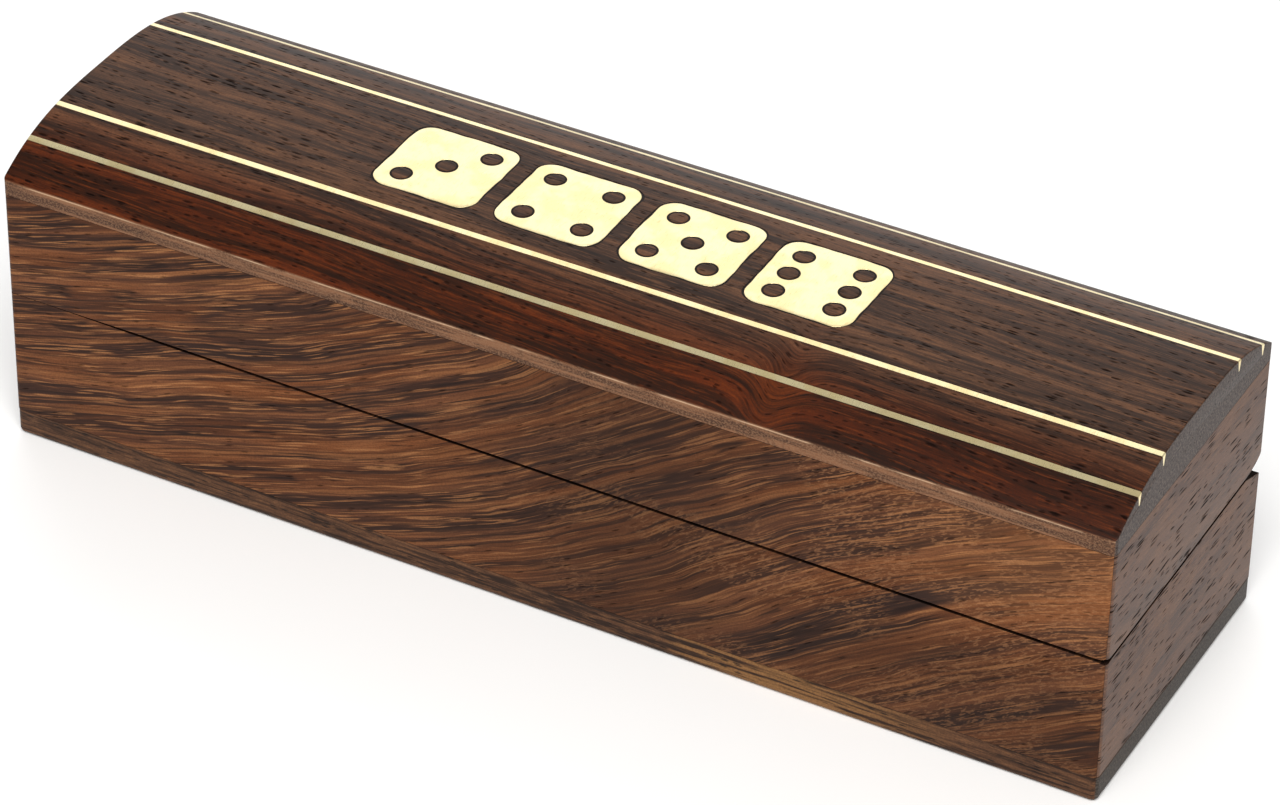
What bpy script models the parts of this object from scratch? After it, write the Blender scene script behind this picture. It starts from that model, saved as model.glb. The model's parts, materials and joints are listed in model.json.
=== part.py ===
"""A hinged hardwood dice box with an arched lid, brass line inlay and four inlaid die faces.

Metres, +Z up. The origin is the middle of the underside, +X runs along the box and -Y is the front.
The body is a floor, four mitred walls, four mitred lid walls and an arched board, all glued, and two
brass butt hinges let into the back wall at the seam.
"""

import math

import bmesh
import bpy
from mathutils import Matrix, Vector

# Driving dimensions.
LENGTH = 0.152
WIDTH = 0.0456
SPRING_HEIGHT = 0.0387  # where the arch of the lid leaves the front and back faces
ARCH_RISE = 0.0048
WALL = 0.007
FLOOR = 0.0036
SEAM = 0.0214  # the height at which the box was sawn into base and lid
SEAM_GAP = 0.0003
LID_BOARD_EDGE = 0.0021  # how much of the arched board shows below the arch
GLUE = 0.0001

# Back edges at the seam, shaped so that the lid can swing past upright and rest on them.
LID_ROUND_DEPTH = 0.0049
LID_ROUND_HEIGHT = 0.0022
BASE_BEVEL_DEPTH = 0.0049
BASE_BEVEL_DROP = 0.0017
BASE_CORNER = 0.0005

# Brass line inlay: strips on edge in saw kerfs that run out at both ends.
STRIP_WIDTH = 0.0008
STRIP_DEPTH = 0.0016
STRIP_PLACES = {"front_low": -0.0167, "front_high": -0.0101, "back_high": 0.0119, "back_low": 0.0194}
STRIP_PLAY = 0.00005

# Brass die faces in flat-bottomed pockets, with the wood of the lid standing up through the pips.
FACE_SIDE = 0.0145
FACE_CORNER = 0.0023
FACE_PITCH = 0.0172
FACE_PLACE = 0.0009  # midway between the two high strips
FACE_THICKNESS = 0.0014  # at the crown of the arch
FACE_PLAY = 0.00025
PIP_RADIUS = 0.00145
PIP_PITCH = 0.0041
FACE_COUNTS = {"three": 3, "four": 4, "five": 5, "six": 6}

# Butt hinges.
HINGE_OFFSET = 0.046  # each hinge's centre from the middle of the box
HINGE_LENGTH = 0.018
BARREL_RADIUS = 0.00125
BARREL_INSET = 0.0014  # the pin's axis from the back face
PIN_RADIUS = 0.00055
PIN_PLAY = 0.00005
KNUCKLE_GAP = 0.00015
MIDDLE_KNUCKLE = 0.006
LEAF_THICKNESS = 0.0007
LEAF_REACH = 0.0046  # from the pin's axis to the leaf's free edge
LEAF_GAP = 0.0001  # between the two leaves when the box is shut
MORTISE_PLAY = 0.0001
BARREL_PLAY = 0.0003

# Countersunk hinge screws.
SCREW_SPREAD = 0.006  # each screw from the hinge's centre
SCREW_REACH = 0.003  # from the pin's axis
SCREW_LENGTH = 0.0045
SCREW_HEAD_RADIUS = 0.001
SCREW_HEAD_HEIGHT = 0.00045
SCREW_SHANK_RADIUS = 0.0005
SCREW_TIP = 0.0009
SCREW_PLAY = 0.0001
SLOT_WIDTH = 0.00028
SLOT_DEPTH = 0.00025

# Facets.
ARCH_FACETS = 32
ROUNDING_FACETS = 10
CORNER_FACETS = 6
PIP_FACETS = 28
ROUND_FACETS = 28

BOX_TOP = SPRING_HEIGHT + ARCH_RISE
BASE_TOP = SEAM - SEAM_GAP / 2
LID_BOTTOM = SEAM + SEAM_GAP / 2
BOARD_UNDERSIDE = SPRING_HEIGHT - LID_BOARD_EDGE
BACK = WIDTH / 2
PIN_Y = BACK - BARREL_INSET
BEYOND = 0.002  # how far a cutter runs past what it cuts


def clear_scene():
    for obj in list(bpy.data.objects):
        bpy.data.objects.remove(obj)


def make_material(name, colour, roughness, metallic=0.0):
    material = bpy.data.materials.new(name)
    material.use_nodes = True
    shader = material.node_tree.nodes["Principled BSDF"]
    shader.inputs["Base Color"].default_value = (*colour, 1.0)
    shader.inputs["Roughness"].default_value = roughness
    shader.inputs["Metallic"].default_value = metallic
    return material


def add_object(name, shape, material=None, parent=None, at=(0.0, 0.0, 0.0)):
    """Links the bmesh as an object. One with no material is a cutter or a guide, left out of the model."""
    bmesh.ops.recalc_face_normals(shape, faces=shape.faces)
    mesh = bpy.data.meshes.new(name)
    shape.to_mesh(mesh)
    shape.free()
    obj = bpy.data.objects.new(name, mesh)
    bpy.context.scene.collection.objects.link(obj)
    obj.location = at
    if material is None:
        obj.hide_render = True
        obj.display_type = "WIRE"
    else:
        mesh.materials.append(material)
    if parent is not None:
        obj.parent = parent
        obj.matrix_parent_inverse = Matrix.Translation(parent.location).inverted()
    return obj


def cut(obj, tool, operation="DIFFERENCE"):
    modifier = obj.modifiers.new(operation.lower(), "BOOLEAN")
    modifier.operation = operation
    modifier.object = tool
    modifier.solver = "EXACT"


def shade_round(obj, degrees=35.0):
    obj.data.shade_smooth()
    obj.data.set_sharp_from_angle(angle=math.radians(degrees))


def extruded(loops, low, high, upright=Matrix.Identity(4)):
    """A solid between two heights from closed loops in XY: an outline, then any holes in it."""
    solid = bmesh.new()
    edges = []
    for loop in loops:
        corners = [solid.verts.new((x, y, low)) for x, y in loop]
        edges += [solid.edges.new(pair) for pair in zip(corners, corners[1:] + corners[:1])]
    bmesh.ops.triangle_fill(solid, edges=edges, use_beauty=True)
    bmesh.ops.recalc_face_normals(solid, faces=solid.faces)
    raised = bmesh.ops.extrude_face_region(solid, geom=list(solid.faces), use_keep_orig=True)
    moved = [item for item in raised["geom"] if isinstance(item, bmesh.types.BMVert)]
    bmesh.ops.translate(solid, verts=moved, vec=(0.0, 0.0, high - low))
    bmesh.ops.transform(solid, matrix=upright, verts=solid.verts)
    return solid


def box(low, high):
    """A block between two corners."""
    block = bmesh.new()
    bmesh.ops.create_cube(block, size=1.0)
    size = Vector(high) - Vector(low)
    middle = (Vector(high) + Vector(low)) / 2
    bmesh.ops.scale(block, vec=size, verts=block.verts)
    bmesh.ops.translate(block, vec=middle, verts=block.verts)
    return block


def rod_along_x(radius, start, end, y, z, facets=ROUND_FACETS):
    rod = bmesh.new()
    bmesh.ops.create_cone(
        rod, cap_ends=True, segments=facets, radius1=radius, radius2=radius, depth=end - start
    )
    turn = Matrix.Rotation(math.pi / 2, 4, "Y")
    place = Matrix.Translation(((start + end) / 2, y, z))
    bmesh.ops.transform(rod, matrix=place @ turn, verts=rod.verts)
    return rod


def turned(profile, facets=ROUND_FACETS):
    """A solid of revolution about Z from (radius, height) points whose first and last lie on the axis."""
    solid = bmesh.new()
    points = [solid.verts.new((r, 0.0, z)) for r, z in profile]
    edges = [solid.edges.new(pair) for pair in zip(points, points[1:])]
    bmesh.ops.spin(
        solid, geom=points + edges, axis=(0, 0, 1), cent=(0, 0, 0), steps=facets, angle=2 * math.pi
    )
    bmesh.ops.remove_doubles(solid, verts=solid.verts, dist=1e-6)
    return solid


def arch_height(y):
    """The height of the lid's curved top above a point y from the middle line.

    Its drop from the crown grows with the cube of y: nearly flat in the middle, steep at the shoulders.
    """
    return BOX_TOP - ARCH_RISE * abs(y / BACK) ** 3


def section_along_x(section, beyond=0.0):
    """Extrudes a (y, z) section along the whole length of the box, and past both ends if it is a cutter."""
    swap = Matrix(((0, 0, 1, 0), (1, 0, 0, 0), (0, 1, 0, 0), (0, 0, 0, 1)))
    return extruded([section], -LENGTH / 2 - beyond, LENGTH / 2 + beyond, swap)


def arched_blank():
    """The lid board before its inlay is cut: a flat underside and the arch across the top."""
    widths = [BACK * (2 * i / ARCH_FACETS - 1) for i in range(ARCH_FACETS + 1)]
    arch = [(y, arch_height(y)) for y in widths]
    section = [(BACK, BOARD_UNDERSIDE), (-BACK, BOARD_UNDERSIDE), *arch]
    return section_along_x(section)


def lid_rounding():
    """What is planed off the lid's lower back edge: the outside of a quarter ellipse."""
    turns = [math.pi / 2 * i / ROUNDING_FACETS for i in range(ROUNDING_FACETS + 1)]
    start, top = BACK - LID_ROUND_DEPTH, LID_BOTTOM + LID_ROUND_HEIGHT
    curve = [(start + LID_ROUND_DEPTH * math.sin(t), top - LID_ROUND_HEIGHT * math.cos(t)) for t in turns]
    beyond, below = BACK + BEYOND, LID_BOTTOM - BEYOND
    return section_along_x([*curve, (beyond, top), (beyond, below), (start, below)], BEYOND)


def base_bevel():
    """What is planed off the base's upper back edge: a slope down to a small rounded corner."""
    turns = [math.pi / 2 * i / CORNER_FACETS for i in range(CORNER_FACETS + 1)]
    start, edge = BACK - BASE_BEVEL_DEPTH, BASE_TOP - BASE_BEVEL_DROP
    centre_y, centre_z = BACK - BASE_CORNER, edge - BASE_CORNER
    corner = [(centre_y + BASE_CORNER * math.sin(t), centre_z + BASE_CORNER * math.cos(t)) for t in turns]
    beyond, above = BACK + BEYOND, BASE_TOP + BEYOND
    outside = [(beyond, centre_z), (beyond, above), (start, above)]
    return section_along_x([(start, BASE_TOP), *corner, *outside], BEYOND)


def mitred_wall(name, run, outer, low, high, turn, material, parent):
    """A wall mitred at both ends, with its outer face at a distance from the middle of the box.

    It is drawn as the front wall and turned about Z to its own side."""
    wall = box((-run / 2, -outer, low), (run / 2, WALL - outer, high))
    for end in (-1, 1):
        bisected = bmesh.ops.bisect_plane(
            wall,
            geom=[*wall.verts, *wall.edges, *wall.faces],
            plane_co=(end * (run / 2 - GLUE / math.sqrt(2)), -outer, 0.0),
            plane_no=(end, 1.0, 0.0),
            clear_outer=True,
        )
        rim = [item for item in bisected["geom_cut"] if isinstance(item, bmesh.types.BMEdge)]
        bmesh.ops.triangle_fill(wall, edges=rim, use_beauty=True)
    bmesh.ops.rotate(wall, cent=(0, 0, 0), matrix=Matrix.Rotation(turn, 3, "Z"), verts=wall.verts)
    return add_object(name, wall, material, parent)


def four_walls(prefix, low, high, back_cutter, material, parent):
    """The front, right, back and left walls of the base or the lid, by name.

    The back edge at the seam is shaped right through the end walls."""
    sides = {
        "front": (LENGTH, WIDTH / 2),
        "right": (WIDTH, LENGTH / 2),
        "back": (LENGTH, WIDTH / 2),
        "left": (WIDTH, LENGTH / 2),
    }
    walls = {}
    for step, (side, (run, outer)) in enumerate(sides.items()):
        turn = step * math.pi / 2
        walls[side] = mitred_wall(f"{prefix}_{side}", run, outer, low, high, turn, material, parent)
        if side != "front":
            cut(walls[side], back_cutter)
    return walls


def rounded_square(side, corner):
    """Points round a square with arcs at its corners."""
    reach = side / 2 - corner
    points = []
    for quarter in range(4):
        start = quarter * math.pi / 2
        centre = Matrix.Rotation(start, 2) @ Vector((reach, reach))
        for i in range(CORNER_FACETS + 1):
            angle = start + math.pi / 2 * i / CORNER_FACETS
            points.append((centre.x + corner * math.cos(angle), centre.y + corner * math.sin(angle)))
    return points


def pip_places(count):
    """Where the pips of a die face lie, as multiples of their pitch."""
    diagonal = [(-1, -1), (1, 1)]
    other_diagonal = [(-1, 1), (1, -1)]
    places = {
        3: [*diagonal, (0, 0)],
        4: [*diagonal, *other_diagonal],
        5: [*diagonal, *other_diagonal, (0, 0)],
        6: [*diagonal, *other_diagonal, (-1, 0), (1, 0)],
    }
    return places[count]


def circle(centre, radius):
    angles = [2 * math.pi * i / PIP_FACETS for i in range(PIP_FACETS)]
    return [(centre[0] + radius * math.cos(a), centre[1] + radius * math.sin(a)) for a in angles]


def die_face(count, grow, low):
    """A die face in plan, grown all round by an amount, from low up past the arch. Its pips are holes."""
    outline = rounded_square(FACE_SIDE + 2 * grow, FACE_CORNER + grow)
    pips = [
        circle((PIP_PITCH * across, PIP_PITCH * along), PIP_RADIUS - grow)
        for across, along in pip_places(count)
    ]
    return extruded([outline, *pips], low, BOX_TOP + BEYOND)


def add_lid_board(wood, brass, parent):
    """The arched board, its four brass strips and its four brass die faces."""
    guide = add_object("arch_guide", arched_blank())
    board = add_object("lid_top", arched_blank(), wood, parent)
    for place, y in STRIP_PLACES.items():
        half = STRIP_WIDTH / 2
        foot = arch_height(y) - STRIP_DEPTH
        strip_block = box((-LENGTH / 2, y - half, foot), (LENGTH / 2, y + half, BOX_TOP + BEYOND))
        strip = add_object(f"brass_strip_{place}", strip_block, brass, parent)
        cut(strip, guide, "INTERSECT")
        kerf_half = half + STRIP_PLAY
        kerf_block = box(
            (-LENGTH / 2 - BEYOND, y - kerf_half, foot - STRIP_PLAY),
            (LENGTH / 2 + BEYOND, y + kerf_half, BOX_TOP + BEYOND),
        )
        cut(board, add_object(f"kerf_{place}", kerf_block))
    floor = BOX_TOP - FACE_THICKNESS
    first = -FACE_PITCH * (len(FACE_COUNTS) - 1) / 2
    for step, (word, count) in enumerate(FACE_COUNTS.items()):
        at = (first + FACE_PITCH * step, FACE_PLACE, 0.0)
        face = add_object(f"brass_die_face_{word}", die_face(count, 0.0, floor), brass, parent, at)
        cut(face, guide, "INTERSECT")
        pocket = die_face(count, FACE_PLAY, floor - GLUE)
        cut(board, add_object(f"pocket_{word}", pocket, at=at))
    shade_round(board)


def leaf_outline(outer_knuckles):
    """A leaf in plan with its free edge at -LEAF_REACH, notched where the other leaf's knuckles turn."""
    half, middle = HINGE_LENGTH / 2, MIDDLE_KNUCKLE / 2
    notch = -(BARREL_RADIUS + KNUCKLE_GAP)
    if outer_knuckles:
        inner = middle + KNUCKLE_GAP / 2
        rim = [(half, 0.0), (inner, 0.0), (inner, notch), (-inner, notch), (-inner, 0.0), (-half, 0.0)]
    else:
        inner = middle - KNUCKLE_GAP / 2
        rim = [(half, notch), (inner, notch), (inner, 0.0), (-inner, 0.0), (-inner, notch), (-half, notch)]
    return [(-half, -LEAF_REACH), (half, -LEAF_REACH), *rim]


def knuckle_spans(outer_knuckles):
    """Where a leaf's knuckles start and end along the hinge."""
    half, middle = HINGE_LENGTH / 2, MIDDLE_KNUCKLE / 2
    if outer_knuckles:
        inner = middle + KNUCKLE_GAP / 2
        return [(-half, -inner), (inner, half)]
    inner = middle - KNUCKLE_GAP / 2
    return [(-inner, inner)]


def screw_profile(play=0.0):
    """Radius and height down a countersunk screw from the middle of its head, or with play, its hole."""
    head, shank = SCREW_HEAD_RADIUS + play, SCREW_SHANK_RADIUS + play
    return [
        (0.0, BEYOND if play else 0.0),
        *([(head, BEYOND)] if play else []),
        (head, 0.0),
        (shank, -SCREW_HEAD_HEIGHT),
        (shank, SCREW_TIP - SCREW_LENGTH - play),
        (0.0, -SCREW_LENGTH - play),
    ]


def add_hinge(label, x, bodies, backs, brass):
    """One butt hinge: two leaves, a pin and four screws, with the mortises that hold it."""
    pin_block = rod_along_x(PIN_RADIUS, -HINGE_LENGTH / 2, HINGE_LENGTH / 2, 0.0, 0.0)
    at = (x, PIN_Y, SEAM)
    pin = add_object(f"hinge_{label}_pin", pin_block, brass, bodies["base"], at)
    shade_round(pin)
    reach = HINGE_LENGTH / 2 + MORTISE_PLAY
    bore = rod_along_x(PIN_RADIUS + PIN_PLAY, -reach - BEYOND, reach + BEYOND, 0.0, 0.0)
    bore_tool = add_object(f"bore_{label}", bore, at=at)
    barrel = rod_along_x(BARREL_RADIUS + BARREL_PLAY, -reach, reach, 0.0, 0.0)
    barrel_tool = add_object(f"barrel_room_{label}", barrel, at=at)
    for body, way in (("base", -1), ("lid", 1)):
        # way points from the seam into the wood that the leaf is screwed to.
        flip = Matrix.Diagonal((1, 1, -way, 1))
        near, far = LEAF_GAP / 2, LEAF_GAP / 2 + LEAF_THICKNESS
        leaf_block = extruded([leaf_outline(body == "base")], -far, -near, flip)
        leaf = add_object(f"hinge_{label}_{body}_leaf", leaf_block, brass, bodies[body], at)
        for i, (start, end) in enumerate(knuckle_spans(body == "base")):
            knuckle = rod_along_x(BARREL_RADIUS, start, end, 0.0, 0.0)
            cut(leaf, add_object(f"knuckle_{label}_{body}_{i}", knuckle, at=at), "UNION")
        cut(leaf, bore_tool)
        deep = way * (far + MORTISE_PLAY / 2)
        room = box(
            (-reach, -LEAF_REACH - MORTISE_PLAY, min(deep, -way * BEYOND)),
            (reach, BARREL_INSET + BEYOND, max(deep, -way * BEYOND)),
        )
        cut(backs[body], add_object(f"mortise_{label}_{body}", room, at=at))
        cut(backs[body], barrel_tool)
        for number, side in ((1, -1), (2, 1)):
            spot = (x + side * SCREW_SPREAD, PIN_Y - SCREW_REACH, SEAM + way * near)
            name = f"hinge_{label}_{body}_screw_{number}"
            screw_block = turned(screw_profile())
            hole_block = turned(screw_profile(SCREW_PLAY))
            for block in (screw_block, hole_block):
                bmesh.ops.transform(block, matrix=flip, verts=block.verts)
            screw = add_object(name, screw_block, brass, bodies[body], spot)
            slot_low = (-2 * SCREW_HEAD_RADIUS, -SLOT_WIDTH / 2, min(way * SLOT_DEPTH, -way * BEYOND))
            slot_high = (2 * SCREW_HEAD_RADIUS, SLOT_WIDTH / 2, max(way * SLOT_DEPTH, -way * BEYOND))
            cut(screw, add_object(f"slot_{name}", box(slot_low, slot_high), at=spot))
            hole = add_object(f"hole_{name}", hole_block, at=spot)
            cut(leaf, hole)
            cut(backs[body], hole)
            shade_round(screw)
        shade_round(leaf)


def add_body(name, at=(0.0, 0.0, 0.0)):
    """An empty that carries the pieces of one body."""
    empty = bpy.data.objects.new(name, None)
    bpy.context.scene.collection.objects.link(empty)
    empty.location = at
    return empty


def main():
    clear_scene()
    side_wood = make_material("rosewood_sides", (0.16, 0.064, 0.030), 0.42)
    lid_wood = make_material("rosewood_lid", (0.075, 0.036, 0.024), 0.34)
    brass = make_material("brass", (0.86, 0.70, 0.38), 0.28, 1.0)

    base = add_body("base_body")
    lid = add_body("lid_body", (0.0, PIN_Y, SEAM))

    floor_block = box((-LENGTH / 2, -WIDTH / 2, 0.0), (LENGTH / 2, WIDTH / 2, FLOOR))
    add_object("base_floor", floor_block, side_wood, base)
    bevel_tool = add_object("base_bevel", base_bevel())
    base_walls = four_walls("base", FLOOR + GLUE, BASE_TOP, bevel_tool, side_wood, base)
    rounding_tool = add_object("lid_rounding", lid_rounding())
    lid_walls = four_walls("lid", LID_BOTTOM, BOARD_UNDERSIDE - GLUE, rounding_tool, side_wood, lid)
    add_lid_board(lid_wood, brass, lid)

    bodies = {"base": base, "lid": lid}
    backs = {"base": base_walls["back"], "lid": lid_walls["back"]}
    for label, side in (("left", -1), ("right", 1)):
        add_hinge(label, side * HINGE_OFFSET, bodies, backs, brass)


main()
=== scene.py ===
# %% [markdown]
# # A rosewood dice box with brass inlay
#
# This lesson dresses a plain model of a small hinged box: its boards get fine edges and figured wood,
# its lid gets polished brass let in flush, and its hinges get bright metal. The plain model fixes where
# everything goes. Each new piece takes its place from the part that it stands for, and rides on the same
# body, so that the lid still opens.

# %% Load the plain model
import json
import math

import bmesh
import bpy
import numpy as np
from mathutils import Matrix, Vector


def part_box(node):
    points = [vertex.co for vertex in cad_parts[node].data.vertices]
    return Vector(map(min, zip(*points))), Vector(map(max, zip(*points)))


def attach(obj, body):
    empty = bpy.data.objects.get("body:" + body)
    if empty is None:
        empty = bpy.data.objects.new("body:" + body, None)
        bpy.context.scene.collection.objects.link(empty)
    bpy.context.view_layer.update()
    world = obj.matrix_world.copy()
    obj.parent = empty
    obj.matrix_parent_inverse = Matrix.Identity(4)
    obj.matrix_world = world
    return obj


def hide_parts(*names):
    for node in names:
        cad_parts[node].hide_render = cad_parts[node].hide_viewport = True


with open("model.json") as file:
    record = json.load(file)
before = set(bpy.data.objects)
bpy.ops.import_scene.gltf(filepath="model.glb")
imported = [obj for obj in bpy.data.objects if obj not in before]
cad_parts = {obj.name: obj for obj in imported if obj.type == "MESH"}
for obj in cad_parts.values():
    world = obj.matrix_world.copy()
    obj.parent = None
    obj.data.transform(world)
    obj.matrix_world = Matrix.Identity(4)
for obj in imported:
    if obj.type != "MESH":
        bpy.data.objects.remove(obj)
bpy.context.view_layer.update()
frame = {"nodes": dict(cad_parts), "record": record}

MM = 0.001
print("the plain model has", len(frame["nodes"]), "parts")

# %% [markdown]
# ## Sizes
#
# Everything follows from a few sizes of the plain model: the box's own box, the thickness of its walls,
# the height of the seam where base and lid part, and the arch of the lid. The arch is planed by eye, nearly
# flat in the middle and steep at the shoulders: its drop from the crown grows with the cube of the
# distance from the middle.

# %% Read the sizes
FLOOR_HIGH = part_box("base_floor")[1]
TOP_LOW, TOP_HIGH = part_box("lid_top")
FRONT_LOW, FRONT_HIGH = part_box("base_front")
LID_FRONT_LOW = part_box("lid_front")[0]

HALF_LENGTH = FLOOR_HIGH.x
HALF_WIDTH = FLOOR_HIGH.y
WALL = FRONT_HIGH.y - FRONT_LOW.y
SEAM = (FRONT_HIGH.z + LID_FRONT_LOW.z) / 2
CROWN = TOP_HIGH.z
ARCH_RISE = 4.8 * MM
SPRING = CROWN - ARCH_RISE


def arch(y):
    """Height of the lid's top: the crown, less the rise times the cube of the share of the way out."""
    return CROWN - ARCH_RISE * np.abs(y / HALF_WIDTH) ** 3


print(f"walls {WALL / MM:.1f} mm, seam at {SEAM / MM:.1f} mm, crown at {CROWN / MM:.1f} mm")

# %% [markdown]
# ## Camera, floor and light
#
# The camera stands well back with a long lens, high and to the right, so that the front, the lid and the
# right end all show and the long edges run nearly parallel. A pale sheet of floor, a big soft light in
# front, and a bright panel behind that the lid and the brass reflect, are the usual set for small goods.

# %% Place the camera
AZIMUTH, ELEVATION, ROLL = math.radians(27.77), math.radians(35.75), math.radians(1.01)
DISTANCE = 682.5 * MM
FOCAL_LENGTH = 154.88  # in millimetres, as Blender wants it
AIM = Vector((2.93, -1.28, 19.03)) * MM


def direction(azimuth, elevation):
    """Unit vector towards a point at an azimuth, from the front towards the right, and an elevation."""
    return Vector(
        (
            math.sin(azimuth) * math.cos(elevation),
            -math.cos(azimuth) * math.cos(elevation),
            math.sin(elevation),
        )
    )


scene = bpy.context.scene
camera_data = bpy.data.cameras.new("camera")
camera_data.lens = FOCAL_LENGTH
camera_data.clip_start = 0.01
camera = bpy.data.objects.new("camera", camera_data)
scene.collection.objects.link(camera)
back = direction(AZIMUTH, ELEVATION)
turn = (-back).to_track_quat("-Z", "Y").to_matrix() @ Matrix.Rotation(ROLL, 3, "Z")
camera.matrix_world = Matrix.Translation(AIM + DISTANCE * back) @ turn.to_4x4()
scene.camera = camera
print("camera at", [round(v, 3) for v in camera.location])


# %% Hang the lights
def soft_light(name, azimuth, elevation, distance, size, power, colour=(1.0, 1.0, 1.0)):
    """A square panel of light that faces the box from a direction in degrees."""
    data = bpy.data.lights.new(name, "AREA")
    data.shape = "SQUARE"
    data.size = size
    data.energy = power
    data.color = colour
    light = bpy.data.objects.new(name, data)
    scene.collection.objects.link(light)
    way = direction(math.radians(azimuth), math.radians(elevation))
    light.matrix_world = Matrix.Translation(way * distance) @ way.to_track_quat("Z", "Y").to_matrix().to_4x4()
    light.visible_camera = False
    return light


soft_light("key_light", 25, 55, 1.2, 0.8, 15.0, (1.0, 0.98, 0.95))
soft_light("back_panel", 205, 31, 1.3, 1.3, 5.9)
world = bpy.data.worlds.new("studio")
world.use_nodes = True
room_light = world.node_tree.nodes["Background"].inputs
room_light["Color"].default_value = (0.96, 0.98, 1.0, 1.0)
room_light["Strength"].default_value = 0.42
scene.world = world
scene.view_settings.view_transform = "Standard"

# %% [markdown]
# ## A way to write finishes
#
# A procedural finish is a formula of position. Blender's node editor builds such formulas from boxes
# and wires, which is slow to read in code. The small class below wraps one socket, so that `a * b + 1`
# adds the Math nodes for it, and its `node` method adds any other kind of node.


# %% The pattern class
class Pattern:
    """One output socket in a material. Arithmetic on it adds Math nodes to the same material."""

    def __init__(self, tree, socket=None):
        self.tree = tree
        self.socket = socket

    def node(self, kind, settings=None, sockets=None, output=0):
        """Adds a node: first its settings, then its sockets' values or links. Returns one of its outputs."""
        made = self.tree.nodes.new("ShaderNode" + kind)
        for name, value in (settings or {}).items():
            setattr(made, name, value)
        for name, value in (sockets or {}).items():
            if isinstance(value, Pattern):
                self.tree.links.new(value.socket, made.inputs[name])
            else:
                made.inputs[name].default_value = value
        return Pattern(self.tree, made.outputs[output])

    def other(self, output):
        """Another output of the same node."""
        return Pattern(self.tree, self.socket.node.outputs[output])

    def maths(self, operation, *values):
        """A Math node of the values, which may be patterns or numbers."""
        return self.node("Math", {"operation": operation}, dict(enumerate(values)))

    def __add__(self, other):
        return self.maths("ADD", self, other)

    def __sub__(self, other):
        return self.maths("SUBTRACT", self, other)

    def __rsub__(self, other):
        return self.maths("SUBTRACT", other, self)

    def __mul__(self, other):
        return self.maths("MULTIPLY", self, other)

    def __truediv__(self, other):
        return self.maths("DIVIDE", self, other)

    def __rtruediv__(self, other):
        return self.maths("DIVIDE", other, self)

    __radd__ = __add__
    __rmul__ = __mul__

    def size(self):
        """The value without its sign."""
        return self.maths("ABSOLUTE", self)

    def ramp(self, low, high):
        """0 below low, 1 above high, and a smooth step between. With low above high it falls instead."""
        settings = {"interpolation_type": "SMOOTHSTEP"}
        return self.node("MapRange", settings, {"Value": self, "From Min": low, "From Max": high})

    def hump(self, middle, spread):
        """A smooth hill: 1 at the middle, a quarter one spread away, and nearly 0 three spreads away."""
        far = (self - middle) / spread
        wide = far * far + 1.0
        return 1.0 / (wide * wide)


# %% [markdown]
# Positions come from the Object coordinates. Every piece stands at the origin untouched, so these are
# also places in the box, and one figure can run on from board to board across the seam. Millimetres
# make the numbers easy to read.


# %% Start a finish, mix colours and make noise
def tint(red, green, blue):
    """A colour as a screen shows it, 0 to 255, as the linear values that Blender works in."""
    shares = np.array((red, green, blue)) / 255
    linear = np.where(shares <= 0.04045, shares / 12.92, ((shares + 0.055) / 1.055) ** 2.4)
    return (*linear.tolist(), 1.0)


def new_finish(name, roughness, specular=0.5, metallic=0.0):
    """A material with its constants set. Returns it, its shader, and x, y and z in mm as patterns."""
    material = bpy.data.materials.new(name)
    material.use_nodes = True
    tree = material.node_tree
    shader = tree.nodes["Principled BSDF"]
    shader.inputs["Roughness"].default_value = roughness
    shader.inputs["Specular IOR Level"].default_value = specular
    shader.inputs["Metallic"].default_value = metallic
    place = Pattern(tree).node("TexCoord", output="Object")
    scaled = place.node("VectorMath", {"operation": "SCALE"}, {"Vector": place, "Scale": 1 / MM})
    x = scaled.node("SeparateXYZ", None, {"Vector": scaled}, "X")
    return material, shader, (x, x.other("Y"), x.other("Z"))


def feed(shader, **sockets):
    """Links patterns to the shader's sockets, which are named with underscores here."""
    for name, pattern in sockets.items():
        pattern.tree.links.new(pattern.socket, shader.inputs[name.replace("_", " ")])


def mix(share, first, second):
    """Two colours mixed, the second by that share."""
    return share.node("Mix", {"data_type": "RGBA"}, {0: share, 6: first, 7: second}, 2)


def blacken(shader, share):
    """Mixes in a dull black by a share: in dark open pores, and as painted shade down in the seam."""
    sockets = {"Base Color": tint(13, 9, 8), "Roughness": 1.0, "Specular IOR Level": 0.0}
    black = share.node("BsdfPrincipled", None, sockets)
    whole = Pattern(share.tree, shader.outputs["BSDF"])
    mixed = share.node("MixShader", None, {0: share, 1: whole, 2: black})
    share.tree.links.new(mixed.socket, share.tree.nodes["Material Output"].inputs["Surface"])


def noise(x, y, z, detail=2.0, rough=0.5):
    """Smooth random values round a half, from three coordinates in units of the noise's own size."""
    at = x.node("CombineXYZ", None, {0: x, 1: y, 2: z})
    return at.node("TexNoise", None, {"Vector": at, "Scale": 1.0, "Detail": detail, "Roughness": rough})


def dashes(x, y, z, reach=0.3, share=0.5):
    """Short separate dashes: the middles of stretched cells, and only a share of the cells show."""
    at = x.node("CombineXYZ", None, {0: x, 1: y, 2: z})
    sockets = {"Vector": at, "Scale": 1.0, "Randomness": 1.0}
    near = at.node("TexVoronoi", None, sockets, "Distance")
    chosen = at.node("SeparateColor", None, {"Color": near.other("Color")}).ramp(share + 0.05, share - 0.05)
    return near.ramp(reach, reach * 0.4) * chosen


def relief(height, depth, strength=1.0):
    """A Bump node's normal from a height of 0 to 1 and its depth in metres."""
    return height.node("Bump", None, {"Strength": strength, "Distance": depth, "Height": height})


print("finishes are ready to write")
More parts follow.
